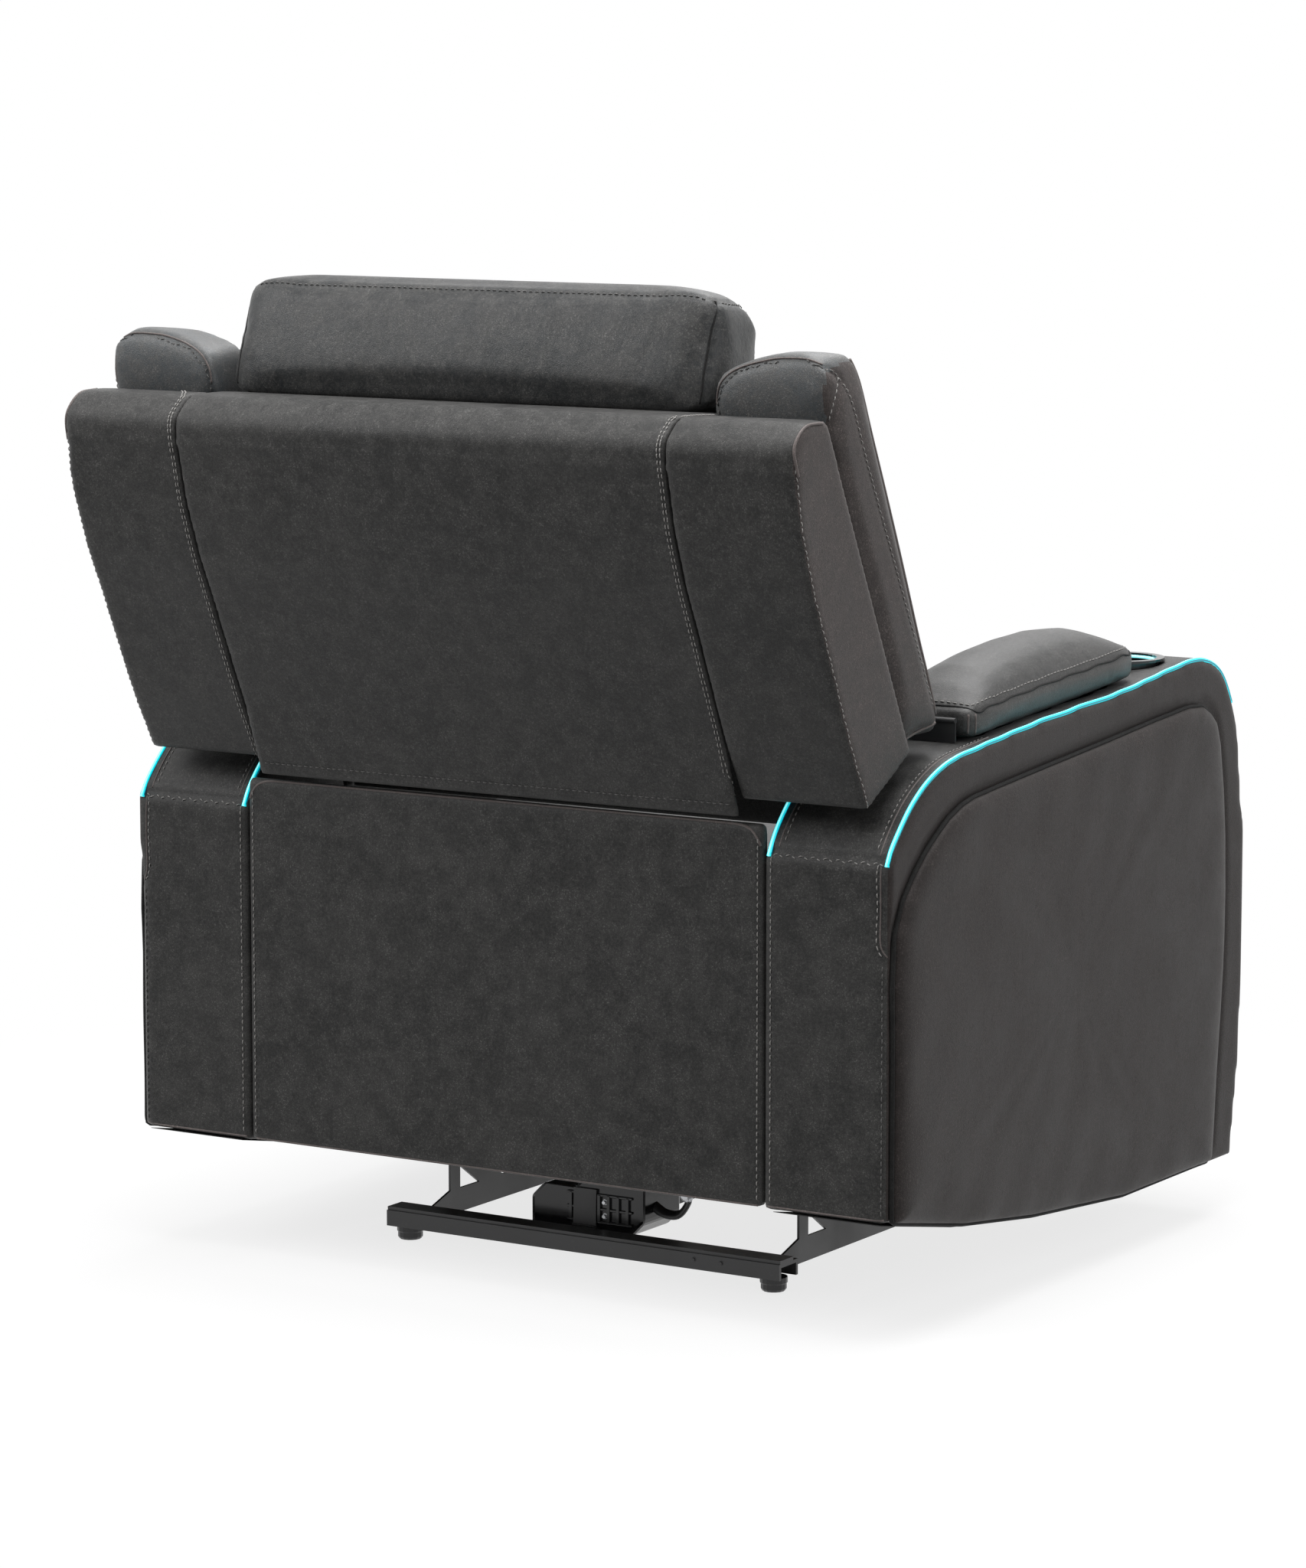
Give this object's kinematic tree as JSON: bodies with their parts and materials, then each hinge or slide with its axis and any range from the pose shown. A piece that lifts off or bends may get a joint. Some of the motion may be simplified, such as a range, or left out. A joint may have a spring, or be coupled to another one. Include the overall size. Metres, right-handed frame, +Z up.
{
  "type": "power recliner armchair",
  "caption": "Power recliner with a reclining back, folding footrest, lit arm edges, lidded arm storage and cup holders.",
  "frame": {"origin": "centre of the bounding box, on the floor", "axes": "+Z up, the sitter faces -Y, +X is the left arm seen from the sitter"},
  "size_m": [0.987, 0.9968, 1.1031],
  "materials": {
    "leather": "satin",
    "side_leather": "satin",
    "steel": "satin",
    "plastic": "satin",
    "light": "gloss",
    "wood": "matte",
    "cloth": "matte",
    "button": "satin"
  },
  "bodies": {
    "floor_frame": {"rear_rail": "steel", "front_rail": "steel", "foot_rear_left": "plastic", "foot_rear_right": "plastic", "foot_front_left": "plastic", "foot_front_right": "plastic", "base_plate_left": "steel", "base_plate_right": "steel", "motor_gearbox": "plastic", "motor_bracket": "steel", "drive_rail": "steel"},
    "drive": {"drive_block": "plastic"},
    "swing_rear": {"swing_link_rear_left": "steel", "swing_link_rear_right": "steel"},
    "swing_front": {"swing_link_front_left": "steel", "swing_link_front_right": "steel"},
    "chair_body": {"arm_left": "leather", "arm_right": "leather", "side_panel_left": "side_leather", "side_panel_right": "side_leather", "light_inner_left": "light", "light_inner_right": "light", "light_outer_left": "light", "light_outer_right": "light", "dust_cover_left": "cloth", "dust_cover_right": "cloth", "cup_holder_left": "plastic", "cup_holder_right": "plastic", "lid_hinge_left": "steel", "lid_hinge_right": "steel", "rear_panel": "leather", "seat_frame": "wood", "seat_cushion": "leather", "seat_mechanism": "steel", "switch_plate": "plastic"},
    "back": {"back_shell": "leather", "back_wing_left": "leather", "back_wing_right": "leather", "back_bolster_left": "side_leather", "back_bolster_right": "side_leather", "back_plate_left": "steel", "back_plate_right": "steel", "lumbar_cushion": "leather", "upper_back_cushion": "leather", "headrest": "leather"},
    "lid_left": {"console_lid_left": "leather"},
    "lid_right": {"console_lid_right": "leather"},
    "inner_links": {"footrest_inner_links": "steel"},
    "outer_links": {"footrest_outer_links": "steel"},
    "control_links": {"control_link_left": "steel", "control_link_right": "steel"},
    "board_links": {"board_link_left": "steel", "board_link_right": "steel"},
    "footrest": {"footrest_board": "wood", "footrest_pad": "leather", "footrest_bracket_left": "steel", "footrest_bracket_right": "steel"},
    "button_open": {"button_open": "button"},
    "button_close": {"button_close": "button"}
  },
  "joints": [
    {"name": "recline", "type": "hinge", "parent": "chair_body", "child": "back", "pos_m": [0, 0.164, 0.407], "axis": [-1, 0, 0], "range_deg": [0, 35]},
    {"name": "body_shift", "type": "slide", "parent": "floor_frame", "child": "chair_body", "axis": [0, -1, 0], "range_m": [0, 0.05]},
    {"name": "swing_rear_turn", "type": "hinge", "parent": "floor_frame", "child": "swing_rear", "pos_m": [0, 0.0775, 0.095], "axis": [1, 0, 0], "range_deg": [0, 18.57]},
    {"name": "swing_front_turn", "type": "hinge", "parent": "floor_frame", "child": "swing_front", "pos_m": [0, -0.2, 0.095], "axis": [1, 0, 0], "range_deg": [0, 18.57]},
    {"name": "footrest_open", "type": "hinge", "parent": "chair_body", "child": "inner_links", "pos_m": [0, -0.24, 0.26], "axis": [-1, 0, 0], "range_deg": [0, 71.3]},
    {"name": "knee_turn", "type": "hinge", "parent": "inner_links", "child": "outer_links", "pos_m": [0, -0.32986, 0.08133], "axis": [-1, 0, 0], "range_deg": [-109.6, 0]},
    {"name": "board_turn", "type": "hinge", "parent": "outer_links", "child": "footrest", "pos_m": [0, -0.41973, 0.26], "axis": [-1, 0, 0], "range_deg": [0, 128.3]},
    {"name": "control_turn", "type": "hinge", "parent": "chair_body", "child": "control_links", "pos_m": [0, -0.17156, 0.2179], "axis": [-1, 0, 0], "range_deg": [0, 65.59]},
    {"name": "board_link_turn", "type": "hinge", "parent": "inner_links", "child": "board_links", "pos_m": [0, -0.34784, 0.04559], "axis": [-1, 0, 0], "range_deg": [-116.17, 0]},
    {"name": "drive_travel", "type": "slide", "parent": "floor_frame", "child": "drive", "axis": [0, -1, 0], "range_m": [0, 0.16]},
    {"name": "lid_left_turn", "type": "hinge", "parent": "chair_body", "child": "lid_left", "pos_m": [0, 0.14, 0.64021], "axis": [-1, 0, 0], "range_deg": [0, 60]},
    {"name": "lid_right_turn", "type": "hinge", "parent": "chair_body", "child": "lid_right", "pos_m": [0, 0.14, 0.64021], "axis": [-1, 0, 0], "range_deg": [0, 60]},
    {"name": "button_open_press", "type": "slide", "parent": "chair_body", "child": "button_open", "axis": [-1, 0, 0], "range_m": [0, 0.002], "stiffness_N_per_m": 600},
    {"name": "button_close_press", "type": "slide", "parent": "chair_body", "child": "button_close", "axis": [-1, 0, 0], "range_m": [0, 0.002], "stiffness_N_per_m": 600}
  ],
  "couplings": [
    {"joint": "body_shift", "follows": "recline", "m_per_rad": 0.081851},
    {"joint": "swing_rear_turn", "follows": "recline", "ratio": 0.53039},
    {"joint": "swing_front_turn", "follows": "recline", "ratio": 0.53039},
    {"joint": "knee_turn", "follows": "footrest_open", "ratio": -1.5372},
    {"joint": "board_turn", "follows": "footrest_open", "ratio": 1.7994},
    {"joint": "control_turn", "follows": "footrest_open", "ratio": 0.91995},
    {"joint": "board_link_turn", "follows": "footrest_open", "ratio": -1.6293},
    {"joint": "drive_travel", "follows": "footrest_open", "m_per_rad": 0.12857}
  ]
}
